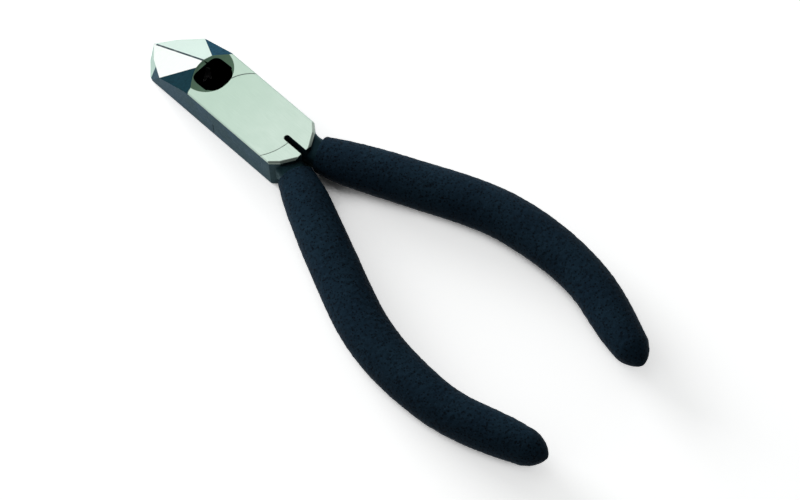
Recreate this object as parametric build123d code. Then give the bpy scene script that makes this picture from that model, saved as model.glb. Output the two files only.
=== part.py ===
from build123d import *
import math
import os

# Sprue nippers with a lapped scissor joint: two crossing steel halves, one
# flush rivet and two sleeve grips.  Millimetres.
# Frame: origin on the pivot axis in the flat underside, +Z up through the
# rivet, +Y forward to the jaw tip, +X to the right-hand handle.
# A "side" argument is +1 for the right (+X) and -1 for the left.

# ---------------------------------------------------------------- driving sizes
# head block
HEAD_T = 8.47            # thickness
HEAD_HALF_W = 6.55       # half width between the parallel sides
TIP_Y = 29.8             # cutting tip, at underside level
SIDE_FRONT_Y = 23.3      # front end of the parallel sides
HEAD_REAR_Y = -12.0      # rear end of the parallel sides
REAR_OUTLINE = [(4.9, -13.7), (2.2, -15.35)]     # right rear corner points (x, y)
NOSE_INNER = (3.3, 27.4)      # nose outline at the underside (x, y)
NOSE_OUTER = (6.1, 24.4)
SIDE_CHAMFER = 0.22      # long side edges, top and underside
LOBE_CHAMFER = 0.45      # oblique top edges behind the rear lobes
LOBE_EDGE_Y = (-15.2, -12.3)  # range holding the centres of those edges

# flush-ground facets on top of the jaws
FACET_SLOPE = 0.5467     # fall towards the tip
FACET_TWIST = -0.081     # slight fall of each facet towards its outer side
FACET_REAR = (2.05, 15.0)     # inner end of the rear edge (x off the parting line, y)
FACET_CORNER = (6.54, 20.6)   # outer end of the rear edge (x, y)
SHOULDER_Y = 11.7        # where the forged shoulder leaves the top face

# parting line between the jaws
PARTING_SKEW = 0.099     # it leans off the centre plane
PARTING_LEAN = math.degrees(math.atan(PARTING_SKEW))
EDGE_REAR_Y = 14.8       # rear end of the cutting edges
JAW_GAP = 0.04           # whole gap between the closed jaws
JAW_CUT_Y = 25.0         # middle and length of the cut that makes the gap
JAW_CUT_L = 35.0

# relief hollow between jaws and joint
RELIEF_X = 0.35
RELIEF_HALF_X = 3.55
RELIEF_Y = (7.6, 14.2)
RELIEF_FLOOR_Z = 3.0
RELIEF_CORNER_R = 2.6
SLIT_HALF_W = 0.45       # slit through the hollow's floor
SLIT_Y = (8.9, 14.6)
BEVEL_TOP_R = 5.6        # shallow conical bevel round the front of the hollow
BEVEL_BOTTOM_R = 1.9
BEVEL_Y = 13.05
BEVEL_DEPTH = 0.75

# V hollow under the cutting edges, opening downwards
VEE_HALF_ANGLE = 20.0
VEE_REAR_Y = 14.0
VEE_OVERCUT = 0.6        # carried below the underside so that it cuts cleanly
VEE_END_SCALE = 0.02     # size of the small front section
VEE_END_BACK = 0.3       # setback of the front section from the point
EDGE_LAND = 0.2          # height of the meeting land of the cutting edges

# slot between the rear lobes
SLOT_X = (-0.50, 0.80)
SLOT_HEAD_Y = -9.95      # front of the rounded slot head
SLOT_REAR_Y = -17.0
SLOT_MID_X = (SLOT_X[0] + SLOT_X[1]) / 2

# lap joint
FRONT_SEAM_R = 8.0       # front arc, about the pivot
REAR_SEAM_R = 11.5       # rear arcs
SEAM_GAP = 0.06          # running gap in the arcs
LAP_Z = 4.235            # level of the lap faces
LAP_GAP = 0.03           # running gap between the lap faces
RIGHT_LOBE_SHIFT = 0.30  # leftward shift of the right lobe's zone and arc

# rivet
RIVET_R = 2.60           # shank
RIVET_RUN = 0.03         # radial running clearance in the lower half
RIVET_HEAD_R = 3.70      # countersunk lower head
RIVET_HEAD_T = 1.15
RIVET_HEAD_RUN = 0.05    # radial clearance round the head
RIVET_FLARE = 0.45       # flare of the peened upper end
RIVET_FLARE_T = 0.60

# tangs and grips
TANG_Z = 4.2             # height of the tangs' centreline
TANG_END_FILLET = 0.9
GRIP_Z = 4.35            # height of the grips' centreline
GRIP_GAP = 0.05          # half gap between the grips at the crotch
GRIP_END_L = 4.9         # length of the rounded end beyond the last full section
GRIP_END_P = 1.6         # shape of the rounded end: (1 - f^P)^Q
GRIP_END_Q = 0.62

# right-hand stations from front to rear; the left-hand ones are mirrored
# x, y, width in plan, height, corner radius
TANG_STATIONS = [
    (3.20, -12.9, 5.3, 6.0, 1.60),
    (3.62, -16.4, 5.8, 5.3, 2.15),
    (5.65, -20.9, 6.0, 5.4, 2.10),
    (8.10, -26.6, 6.3, 5.6, 1.80),
    (13.68, -39.2, 6.1, 5.5, 1.60),
    (18.54, -51.7, 5.8, 5.2, 1.45),
    (20.31, -64.2, 5.4, 4.8, 1.35),
    (19.43, -76.8, 4.9, 4.4, 1.35),
    (17.30, -84.5, 4.2, 3.8, 1.35),
]
# x, y, half width in plan, half height
GRIP_STATIONS = [
    (3.65, -16.3, 3.85, 3.80),
    (5.55, -21.0, 4.58, 4.12),
    (8.10, -26.62, 4.92, 4.28),
    (13.68, -39.16, 5.12, 4.35),
    (18.54, -51.70, 5.10, 4.35),
    (20.31, -64.24, 4.90, 4.30),
    (19.43, -76.78, 4.60, 4.15),
    (16.20, -87.00, 4.30, 3.90),
    (14.95, -91.0, 3.82, 3.60),
]

ON_BASE = (Align.CENTER, Align.CENTER, Align.MIN)


# ---------------------------------------------------------------- helpers
def mirror_x(shape):
    return mirror(shape, about=Plane.YZ)


def prism(points, z0, z1):
    return Pos(0, 0, z0) * extrude(make_face(Polyline(*points, close=True)), z1 - z0)


def keep_below(solid, point, normal):
    """The part of the solid on the inner side of a plane."""
    size = 400.0
    cutter = Plane(origin=point, z_dir=normal) * Pos(0, 0, size / 2) * Box(size, size, size)
    return solid - cutter


def plane_normal(a, b, c):
    """Upward normal of the plane through three points."""
    normal = (b - a).cross(c - a)
    return -normal if normal.Z < 0 else normal


def meet_at_x(normal_a, point_a, normal_b, point_b, x):
    """Point where two planes meet a plane of constant x."""
    dist_a = normal_a.dot(point_a) - normal_a.X * x
    dist_b = normal_b.dot(point_b) - normal_b.X * x
    det = normal_a.Y * normal_b.Z - normal_a.Z * normal_b.Y
    return Vector(x, (dist_a * normal_b.Z - normal_a.Z * dist_b) / det,
                  (normal_a.Y * dist_b - normal_b.Y * dist_a) / det)


def facet_z(x, y):
    return FACET_SLOPE * (TIP_Y - y) + FACET_TWIST * abs(x)


def parting_x(y):
    return PARTING_SKEW * (TIP_Y - y)


def lean(shape):
    """Turn a shape built on the centre plane onto the parting line."""
    return Pos(0, TIP_Y, 0) * Rot(0, 0, PARTING_LEAN) * Pos(0, -TIP_Y, 0) * shape


# ---------------------------------------------------------------- head block
def head_block():
    """Flat block with its long side edges and rear lobe edges chamfered."""
    right = [(0, TIP_Y), NOSE_INNER, NOSE_OUTER, (HEAD_HALF_W, SIDE_FRONT_Y),
             (HEAD_HALF_W, HEAD_REAR_Y)] + REAR_OUTLINE
    block = prism(right + [(-x, y) for x, y in reversed(right[1:])], 0, HEAD_T)

    def at_level(edge, z):
        return abs(edge.center().Z - z) < 1e-4

    lobe_edges = [e for e in block.edges()
                  if at_level(e, HEAD_T) and LOBE_EDGE_Y[0] < e.center().Y < LOBE_EDGE_Y[1]]
    block = chamfer(lobe_edges, LOBE_CHAMFER)
    side_edges = [e for e in block.edges()
                  if (at_level(e, 0) or at_level(e, HEAD_T))
                  and abs(abs(e.center().X) - HEAD_HALF_W) < 1e-3 and e.length > 20]
    return chamfer(side_edges, SIDE_CHAMFER)


def ground_side(block, side):
    """One jaw's side of the block with its facet, shoulder and nose walls."""
    far_x = side * 40
    part = block & prism([(parting_x(-40), -40), (far_x, -40), (far_x, 60),
                          (parting_x(60), 60)], -5, 25)
    tip = Vector(0, TIP_Y, 0)
    heel = Vector(parting_x(EDGE_REAR_Y), EDGE_REAR_Y, facet_z(0, EDGE_REAR_Y))
    corner = Vector(side * FACET_CORNER[0], FACET_CORNER[1], facet_z(*FACET_CORNER))

    # facet
    facet = plane_normal(tip, heel, corner)
    part = keep_below(part, tip, facet)

    # shoulder, meeting the facet in its rear edge
    shoulder = Vector(side * HEAD_HALF_W, SHOULDER_Y, HEAD_T)
    rear_x = parting_x(FACET_REAR[1]) + side * FACET_REAR[0]
    rear_z = -(facet.X * rear_x + facet.Y * (FACET_REAR[1] - TIP_Y)) / facet.Z
    rear = Vector(rear_x, FACET_REAR[1], rear_z)
    part = keep_below(part, shoulder, plane_normal(shoulder, rear, corner))

    # outer nose wall, then the one running to the tip
    inner = Vector(side * NOSE_INNER[0], NOSE_INNER[1], 0)
    outer = Vector(side * NOSE_OUTER[0], NOSE_OUTER[1], 0)
    wall = plane_normal(inner, outer, corner)
    part = keep_below(part, inner, wall)
    wall_top = meet_at_x(wall, inner, facet, tip, inner.X)
    return keep_below(part, inner, plane_normal(tip, inner, wall_top))


def relief_hollow():
    """Rounded pocket with a flat floor."""
    return Pos(RELIEF_X, (RELIEF_Y[1] + RELIEF_Y[0]) / 2, RELIEF_FLOOR_Z) * extrude(
        RectangleRounded(2 * RELIEF_HALF_X, RELIEF_Y[1] - RELIEF_Y[0], RELIEF_CORNER_R),
        HEAD_T + 0.5 - RELIEF_FLOOR_Z)


def relief_bevel():
    return Pos(RELIEF_X, BEVEL_Y, HEAD_T) * Cone(
        bottom_radius=BEVEL_BOTTOM_R, top_radius=BEVEL_TOP_R, height=BEVEL_DEPTH,
        align=(Align.CENTER, Align.CENTER, Align.MAX))


def relief_slit():
    return lean(Pos(0, (SLIT_Y[0] + SLIT_Y[1]) / 2, RELIEF_FLOOR_Z / 2)
                * Box(2 * SLIT_HALF_W, SLIT_Y[1] - SLIT_Y[0], RELIEF_FLOOR_Z + 1.0))


def edge_vee():
    """Wedge under the cutting edges, narrowing almost to a point at the front."""
    apex_z = FACET_SLOPE * (TIP_Y - VEE_REAR_Y) - EDGE_LAND
    half_w = apex_z * math.tan(math.radians(VEE_HALF_ANGLE))   # at underside level

    def section(y, scale, top_z):
        triangle = make_face(Polyline(
            (-half_w * scale, -VEE_OVERCUT), (half_w * scale, -VEE_OVERCUT),
            (0, top_z), close=True))
        return Plane(origin=(0, y, 0), x_dir=(1, 0, 0), z_dir=(0, -1, 0)) * triangle

    point_y = TIP_Y - EDGE_LAND / FACET_SLOPE + VEE_OVERCUT / FACET_SLOPE
    rear = section(VEE_REAR_Y, (apex_z + VEE_OVERCUT) / apex_z, apex_z)
    front = section(point_y - VEE_END_BACK, VEE_END_SCALE,
                    -VEE_OVERCUT + apex_z * VEE_END_SCALE)
    return lean(loft([rear, front], ruled=True))


def lobe_slot():
    """Slot with a rounded front end, open to the rear."""
    width = SLOT_X[1] - SLOT_X[0]
    round_y = SLOT_HEAD_Y - width / 2
    slot = Pos(SLOT_MID_X, (round_y + SLOT_REAR_Y) / 2, HEAD_T / 2) * Box(
        width, round_y - SLOT_REAR_Y, HEAD_T + 2)
    slot += Pos(SLOT_MID_X, round_y, HEAD_T / 2) * Cylinder(width / 2, HEAD_T + 2)
    return slot


def whole_head():
    block = head_block()
    head = ground_side(block, 1) + ground_side(block, -1)
    head = head - relief_hollow() - relief_bevel() - relief_slit() - edge_vee()
    return head - lobe_slot()


# ---------------------------------------------------------------- lap joint
def beyond_arc(points, z0, z1, radius):
    """Prism less a cylinder about the pivot."""
    height = z1 - z0
    return prism(points, z0, z1) - Pos(0, 0, z0 + height / 2) * Cylinder(radius, height + 2)


def jaw_zone(side, z0, z1, radius):
    """Zone in front of the front arc, on one side of the parting line."""
    gap = side * JAW_GAP / 2
    return beyond_arc([(parting_x(0) + gap, 0), (side * 20, 0), (side * 20, 40),
                       (parting_x(40) + gap, 40)], z0, z1, radius)


def lobe_zone(side, z0, z1, radius):
    """Zone behind the rear arc, on one side of the slot."""
    left = beyond_arc([(SLOT_MID_X, 0), (-20, 0), (-20, -30), (SLOT_MID_X, -30)],
                      z0, z1, radius)
    if side < 0:
        return left
    return mirror_x(Pos(RIGHT_LOBE_SHIFT, 0, 0) * left)


def head_half(head, side, slab_z, own_z):
    """Head of one half: the jaw on the given side, a lap slab and the opposite lobe.

    slab_z is the height range of the lap, own_z that of the jaw and lobe
    on the far side of the lap faces.
    """
    z0, z1 = slab_z
    own = (jaw_zone(side, *own_z, FRONT_SEAM_R + SEAM_GAP)
           + lobe_zone(-side, *own_z, REAR_SEAM_R + SEAM_GAP))
    slab = Pos(0, 0, (z0 + z1) / 2) * Box(60, 120, z1 - z0)
    given_up = (jaw_zone(-side, z0 - 1, z1 + 1, FRONT_SEAM_R)
                + lobe_zone(side, z0 - 1, z1 + 1, REAR_SEAM_R))
    jaw_cut = lean(Pos(0, JAW_CUT_Y, 0) * Box(JAW_GAP, JAW_CUT_L, 40))
    return (head & (own + (slab - given_up))) - jaw_cut


# ---------------------------------------------------------------- tangs
def make_tang():
    points = [(x, y, TANG_Z) for x, y, *_ in TANG_STATIONS]
    path = Spline(*points)
    last = len(points) - 1
    sections = []
    for i, (point, (_, _, width, height, radius)) in enumerate(zip(points, TANG_STATIONS)):
        if 0 < i < last:
            param = path.param_at_point(Vector(*point))
        else:
            param = 0.0 if i == 0 else 1.0
        along = path.tangent_at(param)
        plane = Plane(origin=point, x_dir=(-along.Y, along.X, 0), z_dir=(along.X, along.Y, 0))
        sections.append(plane * RectangleRounded(width, height, radius))
    tang = loft(sections)
    return fillet(tang.faces().sort_by(Axis.Y)[0].edges(), TANG_END_FILLET)


# ---------------------------------------------------------------- grips
def natural_spline(knots, values):
    """Natural cubic spline through (knots, values), as a function."""
    n = len(knots)
    step = [knots[i + 1] - knots[i] for i in range(n - 1)]
    # tridiagonal system for the second derivatives
    lower, diag, upper, rhs = [0.0] * n, [1.0] * n, [0.0] * n, [0.0] * n
    for i in range(1, n - 1):
        lower[i] = step[i - 1]
        diag[i] = 2 * (step[i - 1] + step[i])
        upper[i] = step[i]
        rhs[i] = 6 * ((values[i + 1] - values[i]) / step[i]
                      - (values[i] - values[i - 1]) / step[i - 1])
    for i in range(1, n):
        factor = lower[i] / diag[i - 1]
        diag[i] -= factor * upper[i - 1]
        rhs[i] -= factor * rhs[i - 1]
    second = [0.0] * n
    second[-1] = rhs[-1] / diag[-1]
    for i in range(n - 2, -1, -1):
        second[i] = (rhs[i] - upper[i] * second[i + 1]) / diag[i]

    def value_at(t):
        i = max(k for k in range(n - 1) if knots[k] <= t)
        after, before, h = knots[i + 1] - t, t - knots[i], step[i]
        return ((second[i] * after ** 3 + second[i + 1] * before ** 3) / (6 * h)
                + (values[i] / h - second[i] * h / 6) * after
                + (values[i + 1] / h - second[i + 1] * h / 6) * before)
    return value_at


def make_grip(tang):
    """Right-hand grip, hollowed by its tang."""
    # distance along the grip, measured over the chords between stations
    chord = [0.0]
    for (x0, y0, *_), (x1, y1, *_) in zip(GRIP_STATIONS, GRIP_STATIONS[1:]):
        chord.append(chord[-1] + math.hypot(x1 - x0, y1 - y0))
    end = chord[-1]
    x_at, y_at, half_w_at, half_h_at = [
        natural_spline(chord, column) for column in zip(*GRIP_STATIONS)]

    def section(t, scale=1.0, beyond=0.0):
        """Scaled oval at distance t, moved on along the tangent by beyond."""
        t0, t1 = max(t - 0.01, 0.0), min(t + 0.01, end)
        dx, dy = x_at(t1) - x_at(t0), y_at(t1) - y_at(t0)
        length = math.hypot(dx, dy)
        dx, dy = dx / length, dy / length
        plane = Plane(origin=(x_at(t) + dx * beyond, y_at(t) + dy * beyond, GRIP_Z),
                      x_dir=(-dy, dx, 0), z_dir=(dx, dy, 0))
        half_w, half_h = half_w_at(t) * scale, half_h_at(t) * scale
        return plane * make_face([
            EllipticalCenterArc((0, 0), half_w, half_h, start_angle=angle, arc_size=90)
            for angle in (0, 90, 180, 270)])

    # stations close up towards both ends so that the loft stays smooth
    stations = [0.5, 1.3, 2.7, 4.9, 8.0]
    start = stations[-1]
    span = end - 4.6 - start
    count = 14
    stations += [start + span * (i + 1) / count for i in range(count)]
    stations += [end - 2.0, end]

    sections = [section(0.0, 0.94), section(0.2, 0.98)]     # slightly drawn-in mouth
    sections += [section(t) for t in stations]
    for f in (0.20, 0.40, 0.58, 0.74, 0.87, 0.955, 0.992):
        sections.append(section(end, (1 - f ** GRIP_END_P) ** GRIP_END_Q, GRIP_END_L * f))
    body = loft(sections)
    # the two grips nearly meet at the crotch and are flat there
    body = body - Pos(-20 + GRIP_GAP, -20, 0) * Box(40, 60, 60)
    return body - tang


# ---------------------------------------------------------------- rivet
def make_rivet():
    rivet = Cylinder(RIVET_R, HEAD_T, align=ON_BASE)
    rivet += Cone(bottom_radius=RIVET_HEAD_R, top_radius=RIVET_R, height=RIVET_HEAD_T,
                  align=ON_BASE)
    rivet += Pos(0, 0, HEAD_T - RIVET_FLARE_T) * Cone(
        bottom_radius=RIVET_R, top_radius=RIVET_R + RIVET_FLARE, height=RIVET_FLARE_T,
        align=ON_BASE)
    return rivet


def running_hole():
    """Hole in the lower half, with clearance round shank and head."""
    overcut = 0.01       # the countersink starts just below the underside
    slope = (RIVET_HEAD_R - RIVET_R) / RIVET_HEAD_T
    top_run = RIVET_RUN * 0.5
    hole = Cylinder(RIVET_R + RIVET_RUN, HEAD_T, align=ON_BASE)
    hole += Pos(0, 0, -overcut) * Cone(
        bottom_radius=RIVET_HEAD_R + RIVET_HEAD_RUN + overcut * slope,
        top_radius=RIVET_R + top_run,
        height=RIVET_HEAD_T + overcut + (RIVET_HEAD_RUN - top_run) / slope,
        align=ON_BASE)
    return hole


# ---------------------------------------------------------------- assembly
below, above = -1.0, HEAD_T + 1      # levels clear of the head
lap_low = LAP_Z - LAP_GAP / 2
lap_high = LAP_Z + LAP_GAP / 2

head = whole_head()
lower_head = head_half(head, 1, slab_z=(below, lap_low), own_z=(lap_low - 0.5, above))
upper_head = head_half(head, -1, slab_z=(lap_high, above), own_z=(below, lap_high + 0.5))

tang = make_tang()
rivet = make_rivet()
right_grip = make_grip(tang)

# the rivet fills its hole in the upper half; the lower half runs on it
parts = {
    "upper_half": (upper_head - rivet) + tang,
    "lower_half": (lower_head - running_hole()) + mirror_x(tang),
    "pivot_rivet": rivet,
    "right_grip": right_grip,
    "left_grip": mirror_x(right_grip),
}

os.makedirs("parts", exist_ok=True)
for name, shape in parts.items():
    export_step(shape, f"parts/{name}.step")
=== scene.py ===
# Cutting pliers lying flat on a pale floor. The jaws point along +Y, the grips run back
# along -Y, +Z is up, and the pivot is at the origin. The CAD head keeps its meshes and gets
# blued and ground steel; the two grips are rebuilt as pebbled sleeves.
import math
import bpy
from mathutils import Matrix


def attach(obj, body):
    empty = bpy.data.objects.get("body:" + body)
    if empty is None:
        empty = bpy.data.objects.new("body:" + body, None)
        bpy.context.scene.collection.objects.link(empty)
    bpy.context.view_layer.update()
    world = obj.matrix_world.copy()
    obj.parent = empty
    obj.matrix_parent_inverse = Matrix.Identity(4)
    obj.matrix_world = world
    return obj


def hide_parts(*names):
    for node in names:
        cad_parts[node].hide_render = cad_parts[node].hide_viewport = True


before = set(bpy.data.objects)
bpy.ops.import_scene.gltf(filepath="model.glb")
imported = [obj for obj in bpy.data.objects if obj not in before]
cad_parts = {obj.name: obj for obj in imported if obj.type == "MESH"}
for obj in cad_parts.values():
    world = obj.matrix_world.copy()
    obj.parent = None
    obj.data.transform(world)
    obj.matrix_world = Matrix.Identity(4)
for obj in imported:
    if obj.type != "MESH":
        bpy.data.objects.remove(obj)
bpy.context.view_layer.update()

from types import SimpleNamespace

import bmesh
import bpy
from mathutils import Matrix, Vector, noise

MM = 0.001      # lengths are in mm unless a comment says otherwise
scene = bpy.context.scene
UPPER, LOWER = "upper_half_body", "lower_half_body"

# Head
HEAD_T = 8.47                   # height of the top face
HEAD_HALF_W = 6.55
TIP_Y = 29.8
FACET_SLOPE = 0.5467            # rise of the ground facet per mm back from the tip
FACET_TWIST = -0.081            # and per mm out from the middle
FACET_REAR = (2.05, 15.0)       # off the parting line, y
FACET_CORNER = (6.54, 20.6)     # x, y
SHOULDER_Y = 11.7
PARTING_SKEW = 0.099            # x of the parting line per mm back from the tip
PARTING_REF_Y = 14.8
RELIEF_X = 0.35                 # middle of the pocket in the top face
RELIEF_HALF_X = 3.55
RELIEF_Y = (7.6, 14.2)
RELIEF_BEVEL_Y = 13.05          # middle of the round bevel about the pocket
RELIEF_BEVEL_R = 5.6
FRONT_SEAM_R = 8.0

# Grips
GRIP_Z = 4.35                   # height of the centre line
GRIP_STATIONS = [               # x, y of the centre line, half width, half height
    (3.65, -16.3, 3.85, 3.80),
    (5.55, -21.0, 4.58, 4.12),
    (8.10, -26.62, 4.92, 4.28),
    (13.68, -39.16, 5.12, 4.35),
    (18.54, -51.70, 5.10, 4.35),
    (20.31, -64.24, 4.90, 4.30),
    (19.43, -76.78, 4.60, 4.15),
    (16.20, -87.00, 4.30, 3.90),
    (14.95, -91.0, 3.82, 3.60),
]
GRIP_STEP = 0.24     # mesh spacing
GRIP_MESH_R = 4.6               # radius that sets the number of points round a ring
GRIP_MOUTH = [                  # distance along, scale of the section
    (1.8, 0.70), (0.9, 0.705), (0.25, 0.72), (0.06, 0.745), (0.0, 0.79)]
GRIP_RIM = 0.5                  # length of the rounded rim
GRIP_RIM_SCALE = 0.93           # scale of the section where the rim starts
GRIP_RIM_RINGS = 9
GRIP_END_L = 4.9                # length of the rounded end
GRIP_END_P = 1.6                # exponents of its profile, (1 - f^P)^Q
GRIP_END_Q = 0.62


# ------------------------------------------------------------ head planes
def upward_normal(p, q, r):
    n = (Vector(q) - Vector(p)).cross(Vector(r) - Vector(p)).normalized()
    return n if n.z > 0 else -n


def facet_z(x, y):
    return FACET_SLOPE * (TIP_Y - y) + FACET_TWIST * abs(x)


def parting_x(y):
    return PARTING_SKEW * (TIP_Y - y)


def jaw_normals(side):
    """Normals of one jaw's ground facet and of the shoulder behind it."""
    heel = (parting_x(PARTING_REF_Y), PARTING_REF_Y, facet_z(0, PARTING_REF_Y))
    corner = (side * FACET_CORNER[0], FACET_CORNER[1], facet_z(*FACET_CORNER))
    facet = upward_normal((0.0, TIP_Y, 0.0), heel, corner)
    rear_off, rear_y = FACET_REAR
    rear_x = parting_x(rear_y) + side * rear_off
    rear_z = -(facet.x * rear_x + facet.y * (rear_y - TIP_Y)) / facet.z
    shoulder = upward_normal((side * HEAD_HALF_W, SHOULDER_Y, HEAD_T),
                             (rear_x, rear_y, rear_z), corner)
    return facet, shoulder


# ------------------------------------------------------------ shader helpers
class Signal:
    """A node output with arithmetic, so masks read as formulas."""

    def __init__(self, graph, socket):
        self.graph, self.socket = graph, socket

    def math(self, operation, *other, clamp=False):
        return self.graph.get("Math", dict(enumerate((self,) + other)),
                              operation=operation, use_clamp=clamp)

    def __add__(self, other): return self.math("ADD", other)
    def __sub__(self, other): return self.math("SUBTRACT", other)
    def __mul__(self, other): return self.math("MULTIPLY", other)
    def __truediv__(self, other): return self.math("DIVIDE", other)
    __radd__ = __add__
    def __rsub__(self, other): return (self * -1.0) + other
    def abs(self): return self.math("ABSOLUTE")
    def gt(self, other): return self.math("GREATER_THAN", other)
    def lt(self, other): return self.math("LESS_THAN", other)
    def sqrt(self): return self.math("SQRT")
    def clamp(self): return self.math("ADD", 0.0, clamp=True)

    def step(self, zero_at, one_at):
        """Smooth step between 0 and 1; it falls if one_at is below zero_at."""
        falls = one_at < zero_at
        return self.graph.get("MapRange", {
            "Value": self,
            "From Min": min(zero_at, one_at),
            "From Max": max(zero_at, one_at),
            "To Min": 1.0 if falls else 0.0,
            "To Max": 0.0 if falls else 1.0,
        }, interpolation_type="SMOOTHSTEP", clamp=True)


class Graph:
    """The emptied node tree of a material or world."""

    def __init__(self, owner):
        owner.use_nodes = True
        self.tree = owner.node_tree
        self.tree.nodes.clear()

    def feed(self, socket, value):
        if isinstance(value, Signal):
            self.tree.links.new(value.socket, socket)
        else:
            socket.default_value = (*value, 1.0) if socket.type == "RGBA" else value

    def add(self, kind, inputs=None, **settings):
        """Add a node and return it."""
        node = self.tree.nodes.new("ShaderNode" + kind)
        for name, value in settings.items():
            setattr(node, name, value)
        for key, value in (inputs or {}).items():
            self.feed(node.inputs[key], value)
        return node

    def get(self, kind, inputs=None, out=0, **settings):
        """Add a node and return one of its outputs."""
        return Signal(self, self.add(kind, inputs, **settings).outputs[out])

    def split(self, vector):
        return [Signal(self, o) for o in self.add("SeparateXYZ", {0: vector}).outputs]


class Shader(Graph):
    """A Principled material; its textures are scaled in mm of object space."""

    def __init__(self, name):
        self.material = bpy.data.materials.new(name)
        super().__init__(self.material)
        self.bsdf = self.add("BsdfPrincipled")
        self.add("OutputMaterial", {0: Signal(self, self.bsdf.outputs[0])})
        coords = self.add("TexCoord")
        self.position = self.get("VectorMath", {
            0: Signal(self, coords.outputs["Object"]), "Scale": 1.0 / MM}, operation="SCALE")
        self.normal = Signal(self, coords.outputs["Normal"])

    def surface(self, values):
        """Set the Principled inputs and return the finished material."""
        for name, value in values.items():
            self.feed(self.bsdf.inputs[name], value)
        return self.material

    def number(self, value):
        node = self.add("Value")
        node.outputs[0].default_value = value
        return Signal(self, node.outputs[0])

    def mapped(self, scale, turn=0.0):
        return self.get("Mapping", {"Scale": scale, "Rotation": (0, 0, turn),
                                    "Vector": self.position})

    def noise(self, scale, detail, rough, vector=None):
        return self.get("TexNoise", {
            "Scale": scale, "Detail": detail, "Roughness": rough,
            "Vector": vector or self.position}, out="Fac")

    def mix(self, factor, a, b):
        """Colour mix."""
        return self.get("Mix", {0: factor, 6: a, 7: b}, out=2, data_type="RGBA")

    def coats(self, colour, *coats):
        """Lay (mask, colour) coats over a colour, in order."""
        for mask, coat in coats:
            colour = self.mix(mask, colour, coat)
        return colour

    def blend(self, factor, a, b):
        """Number mix."""
        a, b = (v if isinstance(v, Signal) else self.number(v) for v in (a, b))
        return a + (b - a) * factor

    def bump(self, height, depth, strength, normal=None):
        inputs = {"Strength": strength, "Distance": depth * MM, "Height": height}
        if normal:
            inputs["Normal"] = normal
        return self.get("Bump", inputs)


def srgb(*rgb):
    """Linear colour from 0-255 sRGB."""
    def linear(c):
        c /= 255.0
        return c / 12.92 if c <= 0.04045 else ((c + 0.055) / 1.055) ** 2.4
    return tuple(linear(c) for c in rgb)


# ------------------------------------------------------------ steel
GROUND_BUMP = dict(depth=0.035, strength=0.9)
GROUND_RELIEF = 0.05            # share of the grinding lines in the bump height


class SteelShader(Shader):
    """A material that also reads the parts of position and normal."""

    def __init__(self, name):
        super().__init__(name)
        self.x, self.y, self.z = self.split(self.position)
        self.nx, self.ny, self.nz = self.split(self.normal)

    def long_lines(self):
        """Grinding lines that run along Y."""
        return self.noise(scale=1.0, detail=2.0, rough=0.5,
                          vector=self.mapped((16.0, 0.35, 4.0)))

    def ground_finish_and_reflection(self, lines):
        """Colour and roughness of ground metal, with a painted reflection that makes it
        slightly lighter towards the rear.
        """
        cloud = self.noise(scale=0.28, detail=3.0, rough=0.5)
        colour = self.coats(
            # painted reflection: the metal is lighter towards the rear
            self.mix(self.y.step(8.0, -12.0), srgb(206, 228, 213), srgb(223, 239, 228)),
            (cloud.step(0.3, 0.7) * 0.25, srgb(199, 222, 207)),
            ((lines - 0.5) * 0.9 + 0.2, srgb(190, 213, 199)))
        return colour, 0.30 + (lines - 0.5) * 0.16 + cloud * 0.05


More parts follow.
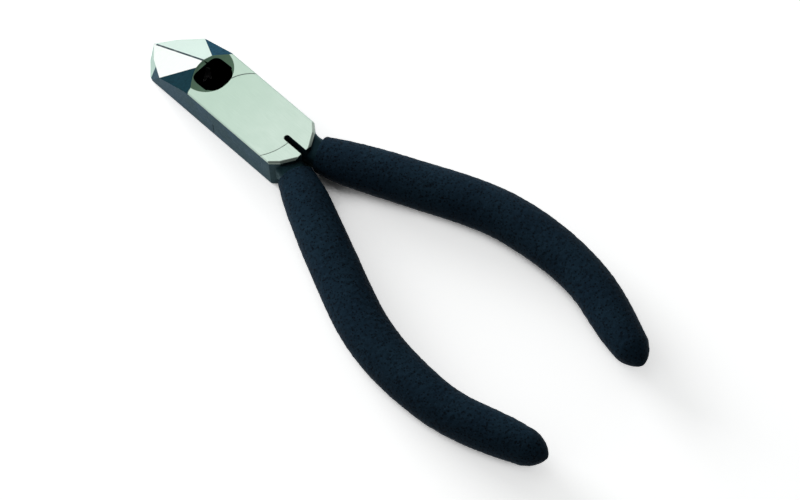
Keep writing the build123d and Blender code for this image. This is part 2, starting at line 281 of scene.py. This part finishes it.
def steel_zones(m):
    """Masks of the places where each finish and each painted light or shade lies, found from
    the head's own planes.
    """
    x, y, z, nz = m.x, m.y, m.z, m.nz

    def facing(n):
        """1 where the surface lies in the plane with normal n."""
        return (m.nx * n.x + m.ny * n.y + nz * n.z).step(0.9975, 0.9990)

    line_off = x - (y * -PARTING_SKEW + PARTING_SKEW * TIP_Y)   # off the parting line
    (facet_n_r, shoulder_n_r), (facet_n_l, shoulder_n_l) = jaw_normals(1), jaw_normals(-1)
    # facets meet at the parting line, with a small overlap
    ahead = y.gt(12.0)
    facet_r = facing(facet_n_r) * ahead * line_off.gt(-0.05)
    facet_l = facing(facet_n_l) * ahead * line_off.lt(0.05)
    facet = (facet_r + facet_l).clamp()
    shoulder = ((facing(shoulder_n_r) * x.gt(0.0))
                + (facing(shoulder_n_l) * x.lt(0.0))).clamp() * y.gt(9.0)
    # flat top and underside, then the chamfers of the top, deeper on the rear lobe
    top = z.step(HEAD_T - 0.06, HEAD_T - 0.02) * nz.step(0.985, 0.995)
    under = z.step(0.06, 0.02) * nz.step(-0.93, -0.985)
    chamfer = (z.step(HEAD_T - 0.26, HEAD_T - 0.20) * nz.step(0.5, 0.6)
               * nz.step(0.93, 0.85) * y.lt(SHOULDER_Y))
    lobe_chamfer = (y.lt(-11.6) * z.gt(HEAD_T - 0.47) * nz.step(0.55, 0.65)
                    * nz.step(0.93, 0.85))

    # pocket, a rounded rectangle 0.10 wider than the relief all round
    across = (x - RELIEF_X) / (RELIEF_HALF_X + 0.10)
    along = ((y - (RELIEF_Y[0] + RELIEF_Y[1]) / 2)
             / ((RELIEF_Y[1] - RELIEF_Y[0]) / 2 + 0.10))
    outline = across * across * across * across + along * along * along * along
    pocket = outline.step(1.16, 1.04) * z.lt(HEAD_T - 0.10)
    # the hollow behind the edges, seen through the pocket
    hollow = (line_off.abs().lt(3.4) * y.gt(7.0) * nz.lt(0.5) * (1.0 - nz.lt(-0.9))
              * z.lt(7.9) * y.lt(28.9))
    # painted shade: the pocket and the hollow behind it are coloured black, with no metal and
    # no specular reflection
    inside = (pocket + hollow).clamp()
    # the round bevel about the pocket, which gets a painted sheen
    bevel_x, bevel_y = x - RELIEF_X, y - RELIEF_BEVEL_Y
    bevel = ((bevel_x * bevel_x + bevel_y * bevel_y).sqrt()
             .step(RELIEF_BEVEL_R + 0.06, RELIEF_BEVEL_R - 0.02)
             * z.gt(6.6) * nz.step(0.6, 0.8)
             * (1.0 - top) * (1.0 - facet) * (1.0 - shoulder) * (1.0 - inside))
    # steep faces round the tip of the jaws
    nose = y.gt(24.0) * nz.lt(0.72) * nz.gt(-0.5) * line_off.abs().gt(0.3) * (1.0 - inside)

    # painted shade in the meeting line of the edges, dotted, and in the front seam near the
    # hollow
    beads = m.noise(scale=1.0, detail=1.0, rough=0.4,
                    vector=m.mapped((0.2, 0.8, 0.2))).step(0.36, 0.56)
    cut_line_shade = (line_off.abs().step(0.28, 0.12) * y.gt(13.8) * z.gt(0.4)
                * (beads * 0.35 + 0.65))
    radius = (x * x + y * y).sqrt()
    seam = ((radius - (FRONT_SEAM_R + 0.03)).abs().step(0.17, 0.06) * y.gt(0.0)
            * line_off.gt(0.0) * top)
    seam = seam * x.step(7.2, 4.2)

    # all ground metal
    bright = (top + facet + under * 0.9 + chamfer * 0.85 + lobe_chamfer
              + nose * 0.75).clamp() * (1.0 - inside)
    # painted shade in the cut line and the front seam dims the ground metal
    bright = bright * (1.0 - cut_line_shade * 0.9) * (1.0 - seam * 0.25)
    return SimpleNamespace(facet=facet, facet_r=facet_r, shoulder=shoulder, inside=inside,
                           bevel=bevel, cut_line_shade=cut_line_shade, seam=seam, bright=bright,
                           by_pivot=radius.step(4.2, 3.9) * top)


def wear_mask(m, rounded, true_normal):
    """Bright metal showing through the bluing along edges and in rubbed spots."""
    cosine = m.get("VectorMath", {0: rounded, 1: true_normal}, out="Value",
                   operation="DOT_PRODUCT")
    edge = (1.0 - cosine).step(0.015, 0.10)
    patch = m.noise(scale=0.9, detail=4.0, rough=0.6).step(0.42, 0.66)
    fine = m.noise(scale=6.0, detail=3.0, rough=0.6)
    return (edge * (patch * 0.75 + 0.15) * fine.step(0.35, 0.6)).clamp()


def head_ground(m, zones):
    """Colour, roughness and grinding lines of the ground parts of the head."""
    cross_lines = m.noise(scale=1.0, detail=2.0, rough=0.5,
                          vector=m.mapped((0.30, 20.0, 20.0)))
    lines = m.blend(zones.facet, m.long_lines(), cross_lines)
    colour, roughness = m.ground_finish_and_reflection(lines)
    # painted reflection: the left facet is coloured near white, the right one mint
    facet_colour_and_reflection = m.coats(
        m.mix(zones.facet_r, srgb(250, 253, 250), srgb(222, 240, 232)),
        ((cross_lines - 0.5) * 0.5 + 0.08, srgb(205, 222, 214)))
    colour = m.coats(colour,
                     (zones.facet, facet_colour_and_reflection),
                     # painted shade in the cut line and the front seam
                     (zones.cut_line_shade * 0.95, srgb(34, 36, 38)),
                     (zones.seam * 0.4, srgb(90, 98, 94)))
    return colour, roughness, lines


def head_blued(m, zones, wear):
    """Colour and roughness of the blued, forged parts of the head, with painted light and
    shade on the shoulders and the bevel and black painted shade inside the pocket.
    """
    tone = m.noise(scale=0.16, detail=3.0, rough=0.55)
    mottle = m.noise(scale=1.6, detail=5.0, rough=0.62)
    colour = m.coats(
        m.mix(tone.step(0.34, 0.66), srgb(26, 54, 64), srgb(36, 62, 84)),
        # painted light and shade: the right shoulder is coloured lighter, the left one darker
        (zones.shoulder * m.x.gt(0.0) * 0.8, srgb(36, 80, 104)),
        (zones.shoulder * m.x.lt(0.0) * 0.8, srgb(18, 56, 66)),
        (m.y.step(-6.0, -14.0) * 0.6, srgb(30, 50, 48)),        # rear of the head
        (mottle.step(0.35, 0.75) * 0.5, srgb(16, 32, 38)),
        (wear * 0.6, srgb(112, 134, 134)),
        # painted sheen: the round bevel about the pocket is coloured pale olive
        (zones.bevel * 0.9, srgb(100, 128, 104)),
        # painted shade: black inside the pocket and the hollow
        (zones.inside, (0.0, 0.0, 0.0)))
    return colour, 0.46 + (mottle - 0.5) * 0.25


def steel_material():
    m = SteelShader("blued_and_ground_steel")
    zones = steel_zones(m)
    bright, inside = zones.bright, zones.inside
    geometry = m.add("NewGeometry")
    rounded = m.get("Bevel", {"Radius": 0.22 * MM}, samples=6)
    wear = wear_mask(m, rounded, Signal(m, geometry.outputs["True Normal"]))
    ground, ground_rough, lines = head_ground(m, zones)
    blued, blued_rough = head_blued(m, zones, wear)

    forged = (m.noise(scale=2.4, detail=5.0, rough=0.6) * 1.0
              + m.noise(scale=9.0, detail=2.0, rough=0.5) * 0.25)
    height = m.blend(bright, forged, lines * GROUND_RELIEF)
    # edges shade as rounded, except by the pivot, which stays flush (4, 5: vector A, B)
    normal = m.get("Mix", {0: zones.by_pivot, 4: rounded,
                           5: Signal(m, geometry.outputs["Normal"])},
                   out=1, data_type="VECTOR")
    # painted shade: inside the pocket the steel loses its metal and its specular reflection,
    # so it stays black
    return m.surface({
        "Base Color": m.mix(bright, blued, ground),
        "Metallic": m.blend(bright, 0.25, 1.0) * (1.0 - inside),
        "Roughness": (m.blend(bright, blued_rough, ground_rough) + inside * 0.6).clamp(),
        "Specular IOR Level": m.blend((inside + zones.shoulder * 0.6).clamp(), 0.15, 0.0),
        "Specular Tint": m.mix(bright, (0.40, 0.86, 1.0), (1.0, 1.0, 1.0)),
        "Normal": m.bump(height, normal=normal, **GROUND_BUMP),
    })


def rivet_material():
    m = SteelShader("ground_rivet_steel")
    lines = m.long_lines()
    colour, roughness = m.ground_finish_and_reflection(lines)
    wall = m.nz.abs().step(0.9, 0.8)
    return m.surface({
        "Base Color": m.mix(wall, colour, srgb(120, 128, 126)),
        "Metallic": 1.0,
        "Roughness": roughness,
        "Normal": m.bump(lines * GROUND_RELIEF, **GROUND_BUMP),
    })


# ------------------------------------------------------------ grips
def grip_material():
    m = Shader("pebbled_grip_vinyl")
    speck = m.get("TexVoronoi", {"Scale": 1.45, "Vector": m.position}, out="Distance")
    grain = m.noise(scale=1.7, detail=4.0, rough=0.62)
    fine = m.noise(scale=9.0, detail=3.0, rough=0.6)
    finest = m.noise(scale=22.0, detail=2.0, rough=0.5)
    tone = m.noise(scale=0.12, detail=2.0, rough=0.5)
    pebble_glint = m.noise(scale=1.9, detail=3.0, rough=0.6, vector=m.mapped((1, 1, 1), turn=0.7))
    colour = m.coats(
        m.mix(tone.step(0.3, 0.7), srgb(30, 51, 66), srgb(25, 44, 59)),
        (grain.step(0.50, 0.66) * 0.8, srgb(12, 19, 27)),
        (speck.step(0.34, 0.16) * 0.85, srgb(6, 10, 17)),
        # painted highlights: pale patches stand for glints on the pebbles
        (pebble_glint.step(0.56, 0.74) * 0.35, srgb(50, 74, 94)))
    return m.surface({
        "Base Color": colour,
        "Roughness": 0.66 + (fine - 0.5) * 0.25,
        "Specular IOR Level": 0.05,
        "Normal": m.bump(fine * 0.6 + finest * 0.4, depth=0.05, strength=0.8),
    })


def natural_spline(knots, values):
    """A cubic through the values with no bend at its ends; it also gives its slope."""
    n = len(knots)
    gaps = [b - a for a, b in zip(knots, knots[1:])]
    slopes = [(b - a) / gap for a, b, gap in zip(values, values[1:], gaps)]
    # the second derivatives solve a tridiagonal system
    diagonal, above, rhs, bends = [1.0] * n, [0.0] * n, [0.0] * n, [0.0] * n
    for i in range(1, n - 1):
        ratio = gaps[i - 1] / diagonal[i - 1]
        diagonal[i] = 2 * (gaps[i - 1] + gaps[i]) - ratio * above[i - 1]
        above[i] = gaps[i]
        rhs[i] = 6 * (slopes[i] - slopes[i - 1]) - ratio * rhs[i - 1]
    for i in range(n - 2, 0, -1):
        bends[i] = (rhs[i] - above[i] * bends[i + 1]) / diagonal[i]

    def at(t, slope=False):
        i = 0
        while i < n - 2 and t > knots[i + 1]:
            i += 1
        gap, m0, m1 = gaps[i], bends[i], bends[i + 1]
        u, v = knots[i + 1] - t, t - knots[i]
        if slope:
            return (m1 * v * v - m0 * u * u) / (2 * gap) + slopes[i] - (m1 - m0) * gap / 6
        return ((m0 * u ** 3 + m1 * v ** 3) / (6 * gap)
                + (values[i] / gap - m0 * gap / 6) * u
                + (values[i + 1] / gap - m1 * gap / 6) * v)
    return at


def grip_rings(length):
    """Distance along, scale of the section and strength of the pebbling of each ring.

    They run from inside the mouth, round the rim, along the sleeve and over the end.
    """
    rings = [(s, scale, 0.0) for s, scale in GRIP_MOUTH]
    for i in range(1, GRIP_RIM_RINGS + 1):
        a = math.pi / 2 * i / GRIP_RIM_RINGS
        scale = GRIP_RIM_SCALE + (1 - GRIP_RIM_SCALE) * math.sin(a)
        rings.append((GRIP_RIM * (1 - math.cos(a)), scale, i / GRIP_RIM_RINGS))
    s = GRIP_RIM + GRIP_STEP
    while s < length:
        rings.append((s, 1.0, 1.0))
        s += GRIP_STEP
    end_rings = max(14, int(GRIP_END_L * 1.5 / GRIP_STEP))
    for i in range(1, end_rings):
        f = math.sin(math.pi / 2 * i / end_rings)
        rings.append((length + GRIP_END_L * f, (1 - f ** GRIP_END_P) ** GRIP_END_Q, 1.0))
    return rings


def pebble_height(point):
    """Height of the pebbling: coarse and fine pebbles on a slow swell."""
    return (-0.055
            + 0.075 * noise.noise(point * 1.35)
            + 0.045 * noise.noise(point * 2.9 + Vector((7.3, 1.1, 4.2)))
            + 0.05 * noise.noise(point * 0.16 + Vector((1.3, 5.1, 0.2))))


def grip_sleeve(name, side, body, node, material, seed):
    """One sleeve; side is 1 for +X and -1 for its mirror image."""
    knots = [0.0]
    for p, q in zip(GRIP_STATIONS, GRIP_STATIONS[1:]):
        knots.append(knots[-1] + math.hypot(q[0] - p[0], q[1] - p[1]))
    length = knots[-1]
    x_at, y_at, half_w_at, half_h_at = (
        natural_spline(knots, column) for column in zip(*GRIP_STATIONS))

    def centre_line(s):
        """Point and direction; past the last station the line runs straight."""
        t = min(s, length)
        dx, dy = x_at(t, slope=True), y_at(t, slope=True)
        size = math.hypot(dx, dy)
        dx, dy = dx / size, dy / size
        return x_at(t) + dx * (s - t), y_at(t) + dy * (s - t), dx, dy

    around = int(2 * math.pi * GRIP_MESH_R / GRIP_STEP)
    rings = grip_rings(length)
    verts = []
    for s, scale, pebbling in rings:
        t = min(s, length)
        cx, cy, dx, dy = centre_line(s)
        half_w, half_h = half_w_at(t) * scale, half_h_at(t) * scale
        for j in range(around):
            angle = 2 * math.pi * j / around
            cos, sin = math.cos(angle), math.sin(angle)
            x = cx - dy * half_w * cos
            y = cy + dx * half_w * cos
            z = GRIP_Z + half_h * sin
            if pebbling > 0:
                out, up = cos / half_w, sin / half_h    # normal of the section
                size = math.hypot(out, up)
                out, up = out / size, up / size
                height = pebble_height(Vector((x + seed, y, z))) * pebbling
                x -= dy * out * height
                y += dx * out * height
                z += up * height
            verts.append((side * x * MM, y * MM, z * MM))

    faces = []
    for start in range(0, (len(rings) - 1) * around, around):
        for j in range(around):
            k = (j + 1) % around
            faces.append((start + j, start + k, start + around + k, start + around + j))
    # closing fans: inside the mouth, then at the end
    mouth = len(verts)
    verts.append(tuple(sum(axis) / around for axis in zip(*verts[:around])))
    faces += [(mouth, (j + 1) % around, j) for j in range(around)]
    end_x, end_y, _, _ = centre_line(length + GRIP_END_L)
    end = len(verts)
    verts.append((side * end_x * MM, end_y * MM, GRIP_Z * MM))
    last = (len(rings) - 1) * around
    faces += [(end, last + j, last + (j + 1) % around) for j in range(around)]

    mesh = bpy.data.meshes.new(name)
    mesh.from_pydata(verts, [], faces)
    bm = bmesh.new()
    bm.from_mesh(mesh)
    bmesh.ops.recalc_face_normals(bm, faces=bm.faces)
    bm.to_mesh(mesh)
    bm.free()
    mesh.polygons.foreach_set("use_smooth", [True] * len(mesh.polygons))
    mesh.update()
    sleeve = link_object(name, mesh)
    mesh.materials.append(material)
    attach(sleeve, body)
    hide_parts(node)


# ------------------------------------------------------------ stage
def link_object(name, data):
    ob = bpy.data.objects.new(name, data)
    scene.collection.objects.link(ob)
    return ob


def build_floor():
    half, z = 1.2, -0.00006     # metres; just below the tool
    mesh = bpy.data.meshes.new("floor")
    mesh.from_pydata([(-half, -half, z), (half, -half, z), (half, half, z), (-half, half, z)],
                     [], [(0, 1, 2, 3)])
    floor = link_object("floor", mesh)
    m = Shader("pale_floor")
    cloud = m.noise(scale=0.02, detail=2.0, rough=0.5)
    # the floor glows where it is open; ambient occlusion cuts the glow close to the tool, a
    # painted shadow that is darkest under it
    openness = m.get("AmbientOcclusion", {"Distance": 0.016}, out="AO", samples=8)
    mesh.materials.append(m.surface({
        "Base Color": m.mix(cloud, srgb(250, 250, 250), srgb(247, 248, 249)),
        "Roughness": 0.9,
        "Specular IOR Level": 0.1,
        "Emission Color": (1.0, 1.0, 1.0),
        "Emission Strength": openness.step(0.24, 0.44) * 0.62,
    }))
    # the steel reflects the floor, but the floor throws no soft light back on the grips
    floor.visible_diffuse = False


def build_world():
    world = bpy.data.worlds.new("studio")
    scene.world = world
    g = Graph(world)
    x, y, z = g.split(g.get("TexCoord", out="Generated"))
    front = y.step(-0.55, 0.65)
    upper = z.step(-0.06, 0.16)
    # a brighter spot low in front, towards +Y
    glow = (x * 0.22 + y * 0.95 + z * 0.22).step(0.90, 0.99) * 0.20
    strength = (front * 0.95 + 0.06) * upper + (1.0 - upper) * 0.02 + glow
    # matt surfaces get less of it than mirrors do
    strength = strength * (1.0 - g.get("LightPath", out="Is Diffuse Ray") * 0.62)
    g.add("OutputWorld", {0: g.get("Background", {
        "Strength": strength, "Color": (0.97, 1.0, 0.985)})})


def area_light(name, location, target, size, power):
    """A rectangular light aimed at the target; metres and watts."""
    light = bpy.data.lights.new(name, "AREA")
    light.shape = "RECTANGLE"
    light.size, light.size_y = size
    light.energy = power
    light.color = (1, 1, 1)
    ob = link_object(name, light)
    ob.location = location
    aim = Vector(target) - Vector(location)
    ob.rotation_euler = aim.to_track_quat("-Z", "Y").to_euler()
    return ob


def build_camera():
    data = bpy.data.cameras.new("camera")
    camera = link_object("camera", data)
    right = Vector((0.6993, -0.7142, -0.0302)).normalized()
    back = Vector((-0.3139, -0.3447, 0.8847)).normalized()
    up = back.cross(right).normalized()
    back = right.cross(up).normalized()     # squared up to the other two
    pose = Matrix((right, up, back)).transposed().to_4x4()
    pose.translation = (-0.18900, -0.25000, 0.53435)
    camera.matrix_world = pose
    data.sensor_fit = "HORIZONTAL"
    data.sensor_width = 36.0
    data.lens = 135.045
    data.clip_start = 0.01
    data.clip_end = 10.0
    scene.camera = camera


# ------------------------------------------------------------ build
steel = steel_material()
rivet = rivet_material()
vinyl = grip_material()
for part, material in (("upper_half", steel), ("lower_half", steel), ("pivot_rivet", rivet)):
    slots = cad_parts[part].data.materials
    slots.clear()
    slots.append(material)
grip_sleeve("right_grip_sleeve", 1.0, UPPER, "right_grip", vinyl, seed=0.0)
grip_sleeve("left_grip_sleeve", -1.0, LOWER, "left_grip", vinyl, seed=31.7)

build_floor()
build_world()
# the key shapes the matt grips; what the ground steel mirrors comes from the world
key = area_light("key_softbox", location=(0.045, 0.80, 0.215), target=(0, -0.02, 0),
                 size=(0.46, 0.28), power=6.2)
key.visible_glossy = False
area_light("top_softbox", location=(0.02, 0.10, 0.85), target=(0, -0.03, 0),
           size=(0.6, 0.6), power=0.25)
build_camera()

scene.view_settings.view_transform = "Standard"
scene.view_settings.look = "None"
scene.view_settings.exposure = 0.0
scene.view_settings.gamma = 1.0

bpy.context.view_layer.update()
